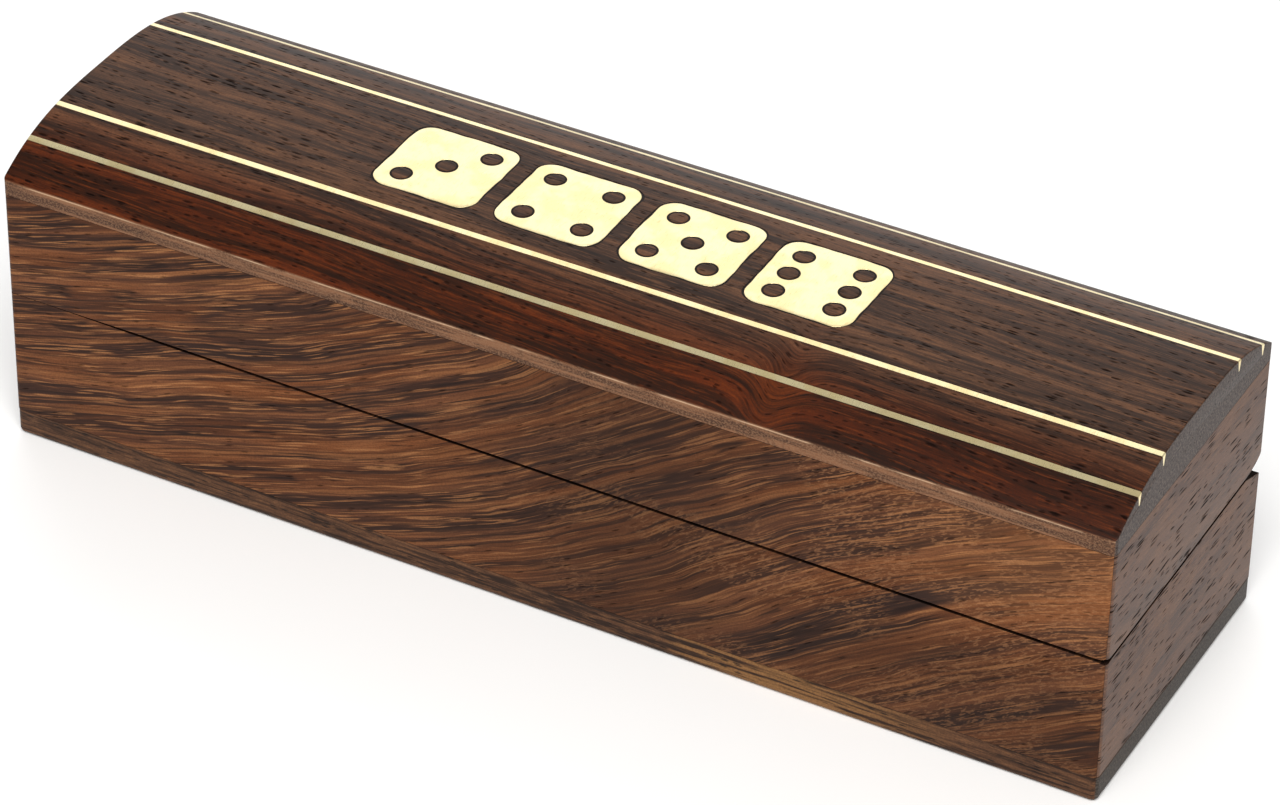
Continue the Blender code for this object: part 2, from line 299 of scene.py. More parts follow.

# %% [markdown]
# ## The side boards' wood
#
# The front of the box is one figured board, sawn apart at the seam. Growth layers show as dark streaks:
# fine and almost level at the left, bolder and steeper towards the middle, and flatter again at the
# right. So the layers are read off one number that is constant along a streak: the height, less a
# curve that rises slowly, then steeply, then slowly. A hyperbolic tangent is that curve.
#
# On that number lie patterns at real sizes: bold dark streaks, a finer banding, hair-fine fibres, and
# short bright flecks where the light catches curly grain. Over them goes a slow change across the face:
# darker in the middle and low at the right, and paler high at the right.
#
# The sawn edges carry painted shade, a dull black that stands in for the shadow down in the seam. It is
# strongest by the outer faces, so the shut seam reads as a dark line, and the edges are brown wood inside
# when the lid is open.


# %% Side wood
SEAM_SHADE_FADED, SEAM_SHADE_FULL = 3.2, 1.0  # how far in from the outer faces the painted seam shade fades, in mm


def veins(value, width):
    """Thin lines where a smooth random value crosses a half: 1 on the line, 0 past its width."""
    return (value - 0.5).size().ramp(width, 0)


def facing(pattern, axis):
    """How squarely a face looks along an axis of the box, either way: 0 to 1, from the surface's normal."""
    normal = pattern.node("TexCoord", output="Normal")
    return normal.node("SeparateXYZ", None, {"Vector": normal}, axis).size()


def painted_seam_shade(x, y, z):
    """Painted shade on the sawn edges, which face up or down, for the shadow in the seam: 0 to 1, most near
    the outer faces.
    """
    uneven = noise(x / 7, y / 7, z / 7, 2).ramp(0.35, 0.6) * 0.16 + 0.8
    along, across = HALF_LENGTH / MM, HALF_WIDTH / MM
    outer_x = x.size().ramp(along - SEAM_SHADE_FADED, along - SEAM_SHADE_FULL)
    outer_y = y.size().ramp(across - SEAM_SHADE_FADED, across - SEAM_SHADE_FULL)
    outer = outer_x.maths("MAXIMUM", outer_x, outer_y)
    # Painted shade: the share of dull black on the sawn edges that stands in for the shadow in the seam.
    return facing(x, "Z").ramp(0.5, 0.8) * uneven * (outer * 0.8 + 0.2)


def side_wood():
    """Rosewood with its figure along one number: height, less a slope, less a hyperbolic tangent."""
    material, shader, (x, y, z) = new_finish("side_wood", 0.45, 0.08)
    wander = noise(x / 26, z / 14, y / 20, 1) - 0.5
    ripple = noise(x / 8, z / 4, y / 9, 1) - 0.5
    lean = x.maths("TANH", (x + z * 0.9 - 45.0) / 52)
    layer = z - x * 0.26 - lean * 13.5 + wander * 2.4 + ripple * 0.5
    right = layer.ramp(18, 2)

    bands = noise(x / 90, layer / 2.3, y / 8, 3, 0.6)
    warm = noise(x / 30, layer / 5 + 70, y / 8, 1).ramp(0.46, 0.62)
    bold = noise(x / 80 + 9, layer / 3.4, y / 8, 1, 0.4).ramp(0.53, 0.6) * (right * 0.75 + 0.25)
    fine = noise(x / 60 + 4, layer / 1.0, y / 8, 2, 0.5).ramp(0.54, 0.61)
    lines = veins(noise(x / 60, layer / 1.7 + 30, y / 8, 1), 0.03) * noise(x / 9, z / 4, y, 1).ramp(0.4, 0.55)
    light = noise(x / 45, layer / 0.75 + 60, y / 8, 2, 0.6).ramp(0.53, 0.64)
    fibre = noise(x / 10, layer / 0.34, y / 4, 3, 0.7)
    hairs = noise(x / 7 + 20, layer / 0.26, y / 3, 1).ramp(0.6, 0.68)
    curly = noise(x / 16 + 7, z / 9, y / 15, 1).ramp(0.4, 0.52) * (x - z * 0.5).ramp(-22, 6)
    flecks = noise(x / 0.75, layer / 0.22, y / 2, 1).ramp(0.52, 0.64) * curly
    pores = dashes(x / 2.2 + 11, layer / 0.36, y / 2, 0.34, 0.22)
    grit = noise(x / 0.3, y / 0.3, z / 0.24, 2, 0.7)
    # Slow changes across the face: darker in the middle and low at the right, paler high at the right.
    low_corner = x.ramp(10, 40) * z.ramp(25, 13)
    darker_middle_and_low_right = low_corner.maths("MAXIMUM", low_corner * 0.8, x.hump(14, 30))
    paler_high_right = (x - z * 0.3).ramp(30, 60) * z.ramp(20, 27)

    colour = mix(bands.ramp(0.4, 0.6), tint(56, 35, 27), tint(108, 66, 42))
    colour = mix(warm * 0.45, colour, tint(122, 68, 31))
    colour = mix(light * 0.54, colour, tint(144, 92, 55))
    colour = mix(fine * (0.78 - right * 0.35), colour, tint(44, 28, 23))
    colour = mix(bold * 0.85, colour, tint(42, 30, 28))
    colour = mix(lines * 0.8, colour, tint(26, 18, 17))
    colour = mix(fibre.ramp(0.52, 0.66) * 0.45, colour, tint(148, 96, 60))
    colour = mix(fibre.ramp(0.47, 0.34) * 0.55, colour, tint(34, 21, 15))
    colour = mix(hairs * 0.55, colour, tint(176, 120, 76))
    colour = mix(flecks * 0.45, colour, tint(160, 112, 76))
    colour = mix(grit.ramp(0.4, 0.62) * 0.25, colour, tint(46, 29, 21))
    colour = mix(darker_middle_and_low_right * 0.56, colour, tint(40, 25, 18))
    colour = mix(paler_high_right * 0.16, colour, tint(160, 104, 62))
    feed(shader, Base_Color=colour, Roughness=0.4 + fibre * 0.2)
    feed(shader, Normal=relief(1 - pores * 0.8 - fibre * 0.3 - grit * 0.1, 0.05 * MM, 0.6))
    # Dull black in the open pores, and painted shade on the sawn edges at the seam.
    blacken(shader, pores.maths("MAXIMUM", pores * 0.6, painted_seam_shade(x, y, z)))
    return material


SIDE_WOOD = side_wood()
print("made", SIDE_WOOD.name)

# %% [markdown]
# ## The end boards' wood
#
# The short boards are quieter, with nearly level grain along their length and many open pores, which
# show as dark dashes 1 to 3 mm long. Their surface is a little glossier, so that they look greyer than
# the front when light skims over them.


# %% End wood
def end_wood():
    """Level grain along Y with dark open pores, and the glue line over the floor board."""
    material, shader, (x, y, z) = new_finish("end_wood", 0.42, 0.42)
    wander = noise(y / 14, z / 6, x / 20) - 0.5
    layer = z + y * 0.06 + wander * 1.4
    bands = noise(y / 40, layer / 1.8, x / 9, 3, 0.6)
    fibre = noise(y / 4, layer / 0.28, x / 4, 3, 0.7)
    patches = noise(y / 12, layer / 5, x / 12, 1)
    long_pores = dashes(y / 4.0, layer / 0.46, x / 2, 0.42, 0.36)
    small_pores = dashes(y / 2.0 + 30, layer / 0.34, x / 2, 0.42, 0.3)
    crowded = noise(y / 11, layer / 3 + 8, x / 9, 1).ramp(0.36, 0.5)
    pores = long_pores.maths("MAXIMUM", long_pores, small_pores * 0.9) * (crowded * 0.85 + 0.15)
    grit = noise(x / 0.2, y / 0.24, z / 0.2, 2, 0.7)
    glue = (z - FLOOR_HIGH.z / MM - 0.1).size().ramp(0.2, 0.1)

    colour = mix(bands.ramp(0.38, 0.64), tint(78, 50, 35), tint(102, 68, 48))
    colour = mix(patches.ramp(0.45, 0.62) * 0.4, colour, tint(122, 80, 48))
    colour = mix(fibre.ramp(0.52, 0.66) * 0.55, colour, tint(140, 102, 78))
    colour = mix(fibre.ramp(0.47, 0.32) * 0.6, colour, tint(32, 19, 13))
    colour = mix(grit.ramp(0.4, 0.62) * 0.4, colour, tint(44, 29, 22))
    feed(shader, Base_Color=colour, Roughness=0.44 + fibre * 0.16)
    feed(shader, Normal=relief(1 - pores - fibre * 0.35 - grit * 0.2, 0.08 * MM, 0.8))
    gloom = pores.maths("MAXIMUM", pores * 0.9, glue * 0.6)
    # Dull black in the pores and the glue line, and painted shade on the sawn edges at the seam.
    blacken(shader, gloom.maths("MAXIMUM", gloom, painted_seam_shade(x, y, z)))
    return material


END_WOOD = end_wood()
print("made", END_WOOD.name)

# %% [markdown]
# ## The lid board's wood
#
# The arched board is darker, with the grain along the box and open pores towards both ends. A small
# knot near the front edge pushes the grain aside and glows orange. Where the board is cut across, at
# its two ends, the same wood shows as fine grey speckle, so the finish asks which way a face points.


# %% Lid wood
def speckle(x, y, z, low, high):
    """End grain: fine grey speckle between two colours."""
    spots = noise(x / 2, y / 0.34, z / 0.34, 3, 0.75)
    return mix(spots.ramp(0.4, 0.62), low, high)


def lid_wood():
    """Dark grain along X, redder at the front shoulder, with a pale front band, a painted highlight along its
    top edge, and speckled ends.
    """
    material, shader, (x, y, z) = new_finish("lid_wood", 0.4, 0.12)
    knot = x.hump(30, 4) * (y - z * 0.5).hump(-38, 7)
    wander = noise(x / 45, y / 9, z / 12) - 0.5
    layer = y + x * 0.03 + wander * 4 + knot * 4
    bands = noise(x / 60, layer / 1.7, z / 6, 4, 0.65)
    wide = noise(x / 80, layer / 5, z / 12, 2)
    fibre = noise(x / 6, layer / 0.3, z / 3, 3, 0.7)
    ends = x.size().ramp(20, 55)
    crowded = noise(x / 14, layer / 2.5 + 5, z / 9, 1).ramp(0.4, 0.55)
    long_pores = dashes(x / 2.6, layer / 0.55, z / 2, 0.42, 0.5) * (ends * 0.6 + 0.4) * crowded
    small_pores = dashes(x / 1.5 + 17, layer / 0.4, z / 2, 0.42, 0.36) * 0.75
    holes = dashes(y / 0.45, z / 0.45, x / 2, 0.34, 0.3)
    red = y.ramp(-8, -20)
    grit = noise(x / 0.3, y / 0.24, z / 0.2, 2, 0.7)
    cut = facing(x, "X").ramp(0.6, 0.8)

    colour = mix(bands.ramp(0.4, 0.62), tint(48, 29, 18), tint(94, 61, 39))
    colour = mix(wide.ramp(0.5, 0.62) * 0.55, colour, tint(36, 22, 15))
    glow = mix(bands.ramp(0.4, 0.62), tint(40, 14, 1), tint(86, 32, 3))
    colour = mix(red * 0.95, colour, glow)
    colour = mix(knot * 0.5, colour, tint(96, 42, 8))
    colour = mix(x.ramp(20, 50) * red * 0.6, colour, tint(34, 14, 5))
    colour = mix(fibre.ramp(0.52, 0.66) * 0.42, colour, mix(red, tint(124, 84, 56), tint(112, 50, 10)))
    colour = mix(fibre.ramp(0.47, 0.34) * 0.6, colour, tint(18, 9, 4))

    edge = z.ramp(SPRING / MM + 0.12, SPRING / MM - 0.08) * (0 - y).ramp(20, 22)
    edge_bands = noise(x / 14, z / 0.6, y / 3, 4, 0.65)
    lighter = mix(edge_bands.ramp(0.4, 0.62), tint(72, 47, 34), tint(128, 88, 62))
    lighter = mix(fibre.ramp(0.5, 0.34) * 0.5, lighter, tint(44, 28, 20))
    colour = mix(edge, colour, mix(grit.ramp(0.45, 0.6) * 0.5, lighter, tint(164, 124, 94)))
    # Painted highlight: a pale broken line just under the top edge of the front band, where the eased edge
    # would catch the light.
    painted_arris_highlight = (z - SPRING / MM).hump(-0.12, 0.08) * noise(x / 5, y, z, 2).ramp(0.38, 0.58) * edge
    colour = mix(painted_arris_highlight * 0.8, colour, tint(206, 172, 140))
    colour = mix(cut, colour, speckle(x, y, z, tint(50, 40, 36), tint(98, 84, 77)))
    colour = mix(grit.ramp(0.4, 0.62) * 0.25, colour, tint(26, 16, 11))
    feed(shader, Base_Color=colour, Roughness=0.38 + fibre * 0.16)
    pores = long_pores.maths("MAXIMUM", long_pores, small_pores) * (1 - cut) * (1 - edge)
    pores = pores + holes * cut * 0.7
    feed(shader, Normal=relief(1 - pores - fibre * 0.25 - grit * 0.12, 0.05 * MM, 0.6))
    blacken(shader, pores * 0.85)
    return material


LID_WOOD = lid_wood()
print("made", LID_WOOD.name)

# %% [markdown]
# ## The floor board's wood
#
# The floor shows as a thin band under the sides, with straight grain along the box and one paler
# yellow stretch near the right.


# %% Floor wood
def floor_wood():
    """Straight grain along X, one paler stretch, and speckle where the board is cut across."""
    material, shader, (x, y, z) = new_finish("floor_wood", 0.45, 0.12)
    wander = noise(x / 20, y / 9, z / 3) - 0.5
    bands = noise(x / 24, (y + wander * 3) / 1.6, (z + wander) / 0.5, 3, 0.65)
    fibre = noise(x / 3, y / 0.3, z / 0.3, 3, 0.65)
    pale = x.ramp(17, 22) * x.ramp(60, 38)
    pores = dashes(x / 2.0, y / 0.5, z / 0.4, 0.38, 0.3)
    grit = noise(x / 0.3, y / 0.3, z / 0.24, 2, 0.7)
    colour = mix(bands.ramp(0.4, 0.62), tint(46, 30, 22), tint(94, 63, 43))
    colour = mix(pale * bands.ramp(0.4, 0.6) * 0.7, colour, tint(150, 108, 64))
    colour = mix(fibre.ramp(0.5, 0.68) * 0.45, colour, tint(138, 96, 64))
    colour = mix(fibre.ramp(0.48, 0.32) * 0.55, colour, tint(30, 19, 14))
    colour = mix(pores * 0.8, colour, tint(18, 11, 9))
    cut = facing(x, "X").ramp(0.6, 0.8)
    colour = mix(cut, colour, speckle(x, y, z, tint(46, 41, 37), tint(86, 77, 70)))
    colour = mix(grit.ramp(0.4, 0.62) * 0.3, colour, tint(36, 25, 19))
    feed(shader, Base_Color=colour, Roughness=0.42 + fibre * 0.16)
    feed(shader, Normal=relief(1 - pores * 0.8 - fibre * 0.3, 0.05 * MM, 0.6))
    return material


FLOOR_WOOD = floor_wood()
print("made", FLOOR_WOOD.name)

# %% [markdown]
# ## Brass and filler
#
# The inlay was sanded flush with the wood and then polished, so it is pale and bright, with fine
# scratches across the strips. The hinges are yellower. The pockets were cut a little large, and a black
# filler closes the gap.


# %% Metals and filler
def inlay_brass():
    """Pale brass, cloudy over 3 mm, with fine scratches across the strips."""
    material, shader, (x, y, z) = new_finish("inlay_brass", 0.24, metallic=1.0)
    scratches = noise(x / 0.16, y / 1.2, z / 1.2, 3, 0.75)
    cloud = noise(x / 3, y / 3, z / 3, 2)
    colour = mix(cloud.ramp(0.4, 0.62), (0.93, 0.79, 0.46, 1.0), (0.86, 0.7, 0.37, 1.0))
    colour = mix(scratches.ramp(0.54, 0.7) * 0.5, colour, (0.6, 0.46, 0.2, 1.0))
    feed(shader, Base_Color=colour, Roughness=0.2 + scratches * 0.2)
    feed(shader, Normal=relief(scratches, 0.01 * MM, 0.6))
    return material


def hinge_brass():
    """Yellower brass with a fine grain along the barrels."""
    material, shader, (x, y, z) = new_finish("hinge_brass", 0.3, metallic=1.0)
    grain = noise(x / 2.5, y / 0.08, z / 0.08, 2, 0.7)
    cloud = noise(x / 2, y / 2, z / 2, 2)
    colour = mix(cloud.ramp(0.35, 0.7), (0.8, 0.6, 0.28, 1.0), (0.68, 0.49, 0.2, 1.0))
    feed(shader, Base_Color=colour, Roughness=0.24 + grain * 0.2)
    feed(shader, Normal=relief(grain, 0.01 * MM, 0.5))
    return material


def black_filler():
    """Dull black paste with a fine grit."""
    material, shader, (x, y, z) = new_finish("black_filler", 0.6, 0.12)
    grit = noise(x / 0.12, y / 0.12, z / 0.12, 3, 0.6)
    feed(shader, Base_Color=mix(grit.ramp(0.3, 0.7), tint(14, 9, 8), tint(34, 24, 19)))
    feed(shader, Normal=relief(grit, 0.03 * MM, 0.6))
    return material


INLAY_BRASS, HINGE_BRASS, BLACK_FILLER = inlay_brass(), hinge_brass(), black_filler()
print("made", INLAY_BRASS.name, HINGE_BRASS.name, BLACK_FILLER.name)

# %% [markdown]
# ## Putting arrays into meshes
#
# A board is a closed outline carried along a line of stations, which makes a grid of points: one row
# for each station, one column for each point of the outline. The faces join neighbours in the grid, and
# one face closes each end. Doubled points are merged and the faces are turned outwards afterwards, so
# the formulas don't have to keep count of either.


# %% Grids to meshes
def ring_faces(stations, around, closed=False):
    """Faces of a grid whose rows are closed rings. A face closes each end, unless the rows close too."""
    rows = np.arange(stations if closed else stations - 1)[:, None]
    columns = np.arange(around)[None, :]
    over, beside = (rows + 1) % stations, (columns + 1) % around
    corners = [(rows, columns), (over, columns), (over, beside), (rows, beside)]
    faces = np.stack([row * around + column for row, column in corners], -1).reshape(-1, 4).tolist()
    if not closed:
        faces.append(list(range(around)))
        faces.append(list(range((stations - 1) * around, stations * around)))
    return faces


def sheet_faces(rings, around):
    """Faces of a flat grid of rings, from the inner one out, with no ends."""
    return ring_faces(rings, around)[:-2]


def repeated(faces, copies, points_each):
    """The same faces again for each copy of a grid."""
    return [[point + copy * points_each for point in face] for copy in range(copies) for face in faces]


def shade(mesh, degrees=40):
    """Smooth shading, with edges sharper than that kept crisp."""
    mesh.shade_smooth()
    mesh.set_sharp_from_angle(angle=math.radians(degrees))


def new_object(name, points, faces, closed=True):
    """An object from an array of points. Merges doubled points and turns a closed mesh's faces outwards."""
    mesh = bpy.data.meshes.new(name)
    mesh.from_pydata(np.asarray(points).reshape(-1, 3).tolist(), [], faces)
    clean = bmesh.new()
    clean.from_mesh(mesh)
    bmesh.ops.remove_doubles(clean, verts=clean.verts, dist=0.001 * MM)
    if closed:
        bmesh.ops.recalc_face_normals(clean, faces=clean.faces)
    clean.to_mesh(mesh)
    clean.free()
    shade(mesh)
    made = bpy.data.objects.new(name, mesh)
    scene.collection.objects.link(made)
    return made


def finish_piece(piece, material, body, slot, *stands_for):
    """Gives a piece its finish and puts it on its body, in place of the plain parts named last."""
    piece.data.materials.clear()
    piece.data.materials.append(material)
    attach(piece, body)
    if stands_for:
        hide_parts(*stands_for)
    print(piece.name, len(piece.data.polygons), "faces")
    return piece


def ease_edges(piece, width, segments=2, degrees=50):
    """A Bevel modifier on edges sharper than that."""
    bevel = piece.modifiers.new("eased_edges", "BEVEL")
    bevel.width = width
    bevel.segments = segments
    bevel.limit_method = "ANGLE"
    bevel.angle_limit = math.radians(degrees)


def cut(piece, *cutters):
    """Takes the cutters' shapes out of a piece, whose own mesh then holds the result."""
    for cutter in cutters:
        piece.modifiers.new("cut", "BOOLEAN").object = cutter
    mesh = bpy.data.meshes.new_from_object(piece.evaluated_get(bpy.context.evaluated_depsgraph_get()))
    piece.modifiers.clear()
    piece.data = mesh
    shade(mesh)
    for cutter in cutters:
        bpy.data.objects.remove(cutter)


def arc(start, end, steps):
    """Angles in radians, from start to end in degrees."""
    return np.radians(np.linspace(start, end, steps + 1))


# %% [markdown]
# ## The sawn seam
#
# The box was glued up whole and sawn apart, and the lid does not sit quite level: the seam is closed at
# the left and opens to nearly 0.4 mm at the right. Along the front it also slants a little, down towards
# the right. A splinter is missing from the front corner there, where the saw came out.
#
# At the back both edges are cut away so that the lid can swing past upright: the lid's edge is a quarter
# ellipse, and the base's a slope with a rounded foot. The foot is rounder than the plain model's,
# because the seam is tighter here at the left, and the open lid has to clear it.

# %% The seam's two edges
LID_ROUND_DEPTH, LID_ROUND_HEIGHT = 4.9 * MM, 2.2 * MM
BASE_SLOPE_DEPTH, BASE_SLOPE_DROP = 4.9 * MM, 1.7 * MM
BASE_ROUND = 0.8 * MM
SEAM_CLOSED, SEAM_RISE, SEAM_TAPER = 0.01, 0.15, 0.03  # in mm, as halves of the seam's opening
CLOSED_AT, OPEN_OVER = 71 * MM, 18 * MM  # the seam opens from 71 mm left of the middle, over 18 mm
SLANT = 0.35 * MM  # how far the seam strays at either end of the front
CHIP, CHIP_REACH = 0.22, 0.8  # half the chip's height, and how far it runs, in mm


def half_gap(x, y):
    """Half the seam's opening: two smooth rises to the right, and a small hill at the chipped corner."""
    early = np.clip((x + CLOSED_AT) / OPEN_OVER, 0, 1)
    late = np.clip((x + HALF_LENGTH) / (2 * HALF_LENGTH), 0, 1)
    rise = SEAM_CLOSED + SEAM_RISE * early**2 * (3 - 2 * early) + SEAM_TAPER * late
    corner = np.hypot(x - HALF_LENGTH, y + HALF_WIDTH) / MM
    return (rise + CHIP * np.exp(-((corner / CHIP_REACH) ** 2))) * MM


def saw_drift(x, y):
    """How far the middle of the seam strays: up to the left and down to the right, and only at the front."""
    front = (HALF_WIDTH - y) / (2 * HALF_WIDTH)
    return -SLANT * x / HALF_LENGTH * front


def past(y, depth):
    """0 to 1 over the last stretch before the back face."""
    return np.clip((y - HALF_WIDTH + depth) / depth, 0, 1)


def lid_edge(x, y):
    """Height of the lid's edge over the middle of the seam: half the gap, and the quarter ellipse."""
    rounding = LID_ROUND_HEIGHT * (1 - np.sqrt(1 - past(y, LID_ROUND_DEPTH) ** 2))
    return saw_drift(x, y) + half_gap(x, y) + rounding


def base_edge(x, y):
    """Height of the base's edge over the middle of the seam: less half the gap, the slope and the round."""
    foot = BASE_ROUND * (1 - np.sqrt(1 - past(y, BASE_ROUND) ** 2))
    return saw_drift(x, y) - half_gap(x, y) - BASE_SLOPE_DROP * past(y, BASE_SLOPE_DEPTH) - foot


right_corner = half_gap(HALF_LENGTH, 0.0) * 2 / MM
print(f"the seam opens to {right_corner:.2f} mm at the right")

# %% [markdown]
# ## The eight side boards
#
# Each board is a section carried along its run from mitre to mitre. The section gives how deep each
# point lies under the outer face, and how high. The box's upright corners are rounded, so a run goes
# straight and then turns 45 degrees to meet its neighbour: a point at some depth turns on a radius that
# is smaller by that depth, and points deeper than the corner's radius run straight to the mitre.
#
# The stations crowd towards both ends, and the section's points crowd towards the outer face, because
# that is where the seam's edge bends most.

# %% Side boards
CORNER = 0.7 * MM  # radius of the box's upright corners
SEAM_EASE = 0.07 * MM  # radius of the board's edges at the seam
JOINT_EASE = 0.03 * MM  # and where it is glued
MITRE_GLUE = 0.03 * MM  # half a glue line
JOINT_GLUE = 0.05 * MM


def round_corner(depth, height, radius, start):
    """Points on a quarter circle whose sides touch a corner's two edges."""
    turns = arc(start, start + 90, 4)
    return np.stack([depth + radius * np.cos(turns), height + radius * np.sin(turns)], 1)


def board_section(low, high, seam):
    """A board cut across: (depth, height) anticlockwise, with many points along its edge at the seam."""
    below, above = (SEAM_EASE, JOINT_EASE) if seam == low else (JOINT_EASE, SEAM_EASE)
    crowd = SEAM_EASE + (WALL - 2 * SEAM_EASE) * (1 - np.cos(arc(0, 90, 20)[1:-1]))
    edge = np.stack([crowd, np.full_like(crowd, seam)], 1)
    parts = [
        round_corner(below, low + below, below, 180),
        edge if seam == low else edge[:0],
        round_corner(WALL - below, low + below, below, 270),
        round_corner(WALL - above, high - above, above, 0),
        edge[::-1] if seam == high else edge[:0],
        round_corner(above, high - above, above, 90),
    ]
    return np.concatenate(parts)


def board_points(low, high, seam, seam_edge, run, outer, quarter_turns):
    """A board's grid. Quarter turns take the front board to the right, the back and the left.

    The seam's edge moves each point up or down, by all of it at the seam and none at the far edge."""
    depth, height = board_section(low, high, seam).T
    half = run / 2 - MITRE_GLUE
    straight = np.sin(arc(-90, 90, 70)) * (half - CORNER)
    bend = arc(0, 45, 4)[1:]
    rim = np.concatenate([-(half - CORNER + CORNER * np.sin(bend))[::-1], straight])
    rim = np.concatenate([rim, half - CORNER + CORNER * np.sin(bend)])[:, None]
    turned = np.concatenate([bend[::-1], 0 * straight, bend])[:, None]
    radius = np.maximum(CORNER - depth, 0)[None, :]
    near_x = np.clip(rim, CORNER - half, half - CORNER) + np.sign(rim) * radius * np.sin(turned)
    near_depth = depth + (CORNER - depth) * (1 - np.cos(turned))
    shallow = depth < CORNER
    x = np.where(shallow, near_x, rim / rim.max() * (half - depth))
    y = np.where(shallow, near_depth, depth + 0 * rim) - outer
    for _ in range(quarter_turns):
        x, y = -y, x
    far = high if seam == low else low
    share = (height - far) / (seam - far)
    z = height + seam_edge(x, y) * share
    return np.stack([x, y, z], -1)


def add_side_boards(body, low, high, seam_edge):
    """The four boards of the base or the lid, in turn from the front."""
    finishes = {"front": SIDE_WOOD, "right": END_WOOD, "back": SIDE_WOOD, "left": END_WOOD}
    boards = {}
    for turns, (side, wood) in enumerate(finishes.items()):
        run, outer = (HALF_LENGTH, HALF_WIDTH) if turns % 2 == 0 else (HALF_WIDTH, HALF_LENGTH)
        points = board_points(low, high, SEAM, seam_edge, run * 2, outer, turns)
        board = new_object(f"{body}_{side}_board", points, ring_faces(*points.shape[:2]))
        boards[side] = finish_piece(board, wood, body, "side_wood", f"{body}_{side}")
    return boards


base_boards = add_side_boards("base", FLOOR_HIGH.z + JOINT_GLUE, SEAM, base_edge)
lid_boards = add_side_boards("lid", SEAM, TOP_LOW.z - JOINT_GLUE, lid_edge)

# %% [markdown]
# ## Mortises for the hinges
#
# Each hinge leaf lies in a shallow mortise in the edge of a back board, open to the back, and the
# barrel turns in a rounded groove. A Boolean cuts both, because a router would cut them just so.

# %% Cut the mortises
LEAF_PLAY, BARREL_PLAY = 0.1 * MM, 0.3 * MM
LID_BARREL = 1.25 * MM  # radius of the lid leaf's knuckle
MORTISE_DEPTH, MORTISE_OVERRUN = 0.8 * MM, 1.0 * MM  # into this board, and out past its edge


def block(low, high):
    """A box between two corners, for cutting."""
    (x0, y0, z0), (x1, y1, z1) = low, high
    points = [[(x, y0, z0), (x, y1, z0), (x, y1, z1), (x, y0, z1)] for x in (x0, x1)]
    return new_object("block", points, ring_faces(2, 4))


def rod(start, end, y, z, radius):
    """A round bar along X, for cutting."""
    turns = arc(0, 360, 40)[:-1]
    ring = np.stack([y + radius * np.cos(turns), z + radius * np.sin(turns)], 1)
    points = [np.insert(ring, 0, x, axis=1) for x in (start, end)]
    return new_object("rod", points, ring_faces(2, len(turns)))


for side in ("left", "right"):
    pin_low, pin_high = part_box(f"hinge_{side}_pin")
    axis_y, axis_z = (pin_low.y + pin_high.y) / 2, (pin_low.z + pin_high.z) / 2
    for body, boards, way in (("base", base_boards, -1), ("lid", lid_boards, 1)):
        leaf_low, leaf_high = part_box(f"hinge_{side}_{body}_leaf")
        start, end = leaf_low.x - LEAF_PLAY, leaf_high.x + LEAF_PLAY
        barrel = (leaf_high.z - leaf_low.z) / 2 if body == "base" else LID_BARREL
        groove = rod(start, end, axis_y, axis_z, barrel + BARREL_PLAY)
        deep = axis_z + way * MORTISE_DEPTH
        shallow = axis_z - way * MORTISE_OVERRUN
        room = block(
            (start, leaf_low.y - LEAF_PLAY, min(deep, shallow)),
            (end, HALF_WIDTH + WALL, max(deep, shallow)),
        )
        cut(boards["back"], room, groove)
    print(side, "hinge's axis is", round((HALF_WIDTH - axis_y) / MM, 2), "mm from the back")

# %% [markdown]
# ## The floor board
#
# The floor board is a stack of rounded rectangles: each station is a height and how far the outline
# draws in there. The bottom edge is sanded round, more than any other edge of the box.

# %% Floor board
FLOOR_EASE = 0.7 * MM


def rounded_rectangle(inset, radius, steps=6):
    """The box's outline in plan, drawn in by the inset, with quarter circles at its corners."""
    quarters = np.concatenate([arc(start, start + 90, steps) for start in (0, 90, 180, 270)])
    side_x = np.repeat([1, -1, -1, 1], steps + 1)
    side_y = np.repeat([1, 1, -1, -1], steps + 1)
    x = side_x * (HALF_LENGTH - inset - radius) + radius * np.cos(quarters)
    y = side_y * (HALF_WIDTH - inset - radius) + radius * np.sin(quarters)
    return np.stack([x, y], 1)


def floor_points():
    """Outlines from the underside up: an arc of insets for the sanded edge, then a small one at the top."""
    turns = arc(0, 90, 6)
    sanded = [(FLOOR_EASE * (1 - math.sin(t)), FLOOR_EASE * (1 - math.cos(t))) for t in turns]
    top = [(0.0, FLOOR_HIGH.z - JOINT_EASE), (JOINT_EASE, FLOOR_HIGH.z)]
    stations = []
    for inset, height in [*sanded, *top]:
        outline = rounded_rectangle(inset, max(CORNER + 0.2 * MM - inset, 0.1 * MM))
        stations.append(np.insert(outline, 2, height, axis=1))
    return np.array(stations)


floor_grid = floor_points()
floor_board = new_object("base_floor_board", floor_grid, ring_faces(*floor_grid.shape[:2]))
finish_piece(floor_board, FLOOR_WOOD, "base", "side_wood", "base_floor")

# %% [markdown]
# ## The lid board
#
# The arched board is its own cross-section carried along the box: a flat underside, a narrow upright
# band at the front and the back, a softened arris, and the arch with four saw kerfs. At both ends the
# outline draws in along a quarter circle, which eases the edges, except inside the kerfs. It narrows
# there too, because the box's upright corners were rounded with the lid board glued on.

# %% Lid board
STRIPS = [f"brass_strip_{name}" for name in ("front_low", "front_high", "back_high", "back_low")]
STRIP_FOOT, KERF_PLAY = 0.25 * MM, 0.05 * MM
ARRIS = 0.25 * MM
END_EASE = 0.18 * MM


def curve_between(start, corner, end, steps=4):
    """A smooth curve that leaves start and reaches end along the lines to the corner between them."""
    share = np.linspace(0, 1, steps + 1)[:, None]
    return (1 - share) ** 2 * start + 2 * share * (1 - share) * corner + share**2 * end


def arch_inward(y):
    """Unit vectors into the wood, square to the arch: from its slope, three times the cube's drop over y."""
    across = y / HALF_WIDTH
    slope = -3 * ARCH_RISE / HALF_WIDTH * across * np.abs(across)
    return np.stack([slope, np.full_like(slope, -1.0)], 1) / np.hypot(slope, 1.0)[:, None]


